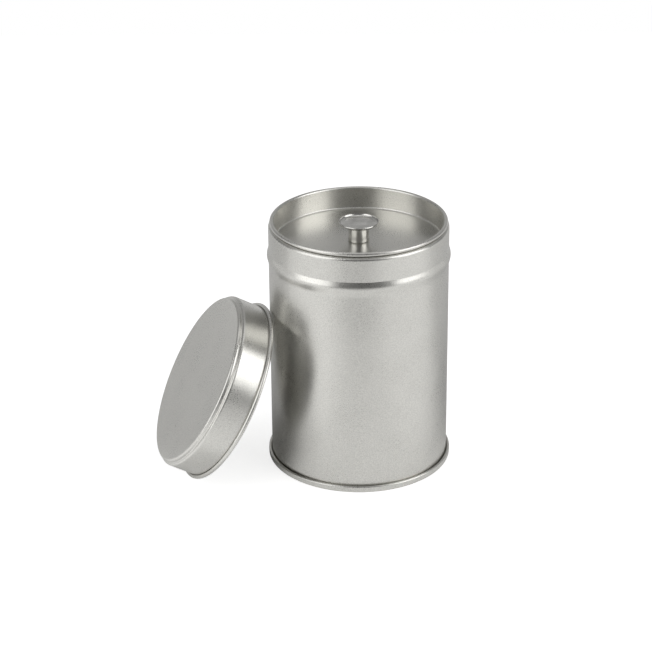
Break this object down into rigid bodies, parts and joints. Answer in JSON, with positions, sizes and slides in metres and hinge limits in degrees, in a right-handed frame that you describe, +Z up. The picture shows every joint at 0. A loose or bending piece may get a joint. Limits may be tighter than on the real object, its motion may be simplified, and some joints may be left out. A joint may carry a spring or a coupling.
{
  "type": "storage tin",
  "caption": "Round satin metal storage tin with a press-in inner lid and knob, and a slip-on outer lid that leans against the body.",
  "frame": {"origin": "on the table under the body's axis, in the plane of the base seam's foot", "axes": "+Z up along the body's axis; +X to the right seen from the front; -Y to the front, towards the picture's viewer; the outer lid leans on the -X side"},
  "size_m": [0.1275, 0.0919, 0.1092],
  "materials": {
    "satin_tinplate": "fine matte tinplate with a soft sheen",
    "polished_aluminium": "turned and polished, slightly uneven"
  },
  "bodies": {
    "tin": {"body_shell": "satin_tinplate", "base_end": "satin_tinplate"},
    "inner_lid": {"inner_lid_pan": "satin_tinplate", "inner_lid_knob": "polished_aluminium", "knob_rivet": "polished_aluminium"},
    "outer_lid": {"outer_lid": "satin_tinplate"}
  },
  "joints": [
    {"name": "inner_lid_lift", "type": "slide", "parent": "tin", "child": "inner_lid", "axis": [0, 0, 1], "range_m": [0, 0.08]},
    {"name": "outer_lid_lift", "type": "slide", "parent": "tin", "child": "outer_lid", "axis": [-0.855, -0.188, 0.4833], "range_m": [0, 0.06]}
  ]
}
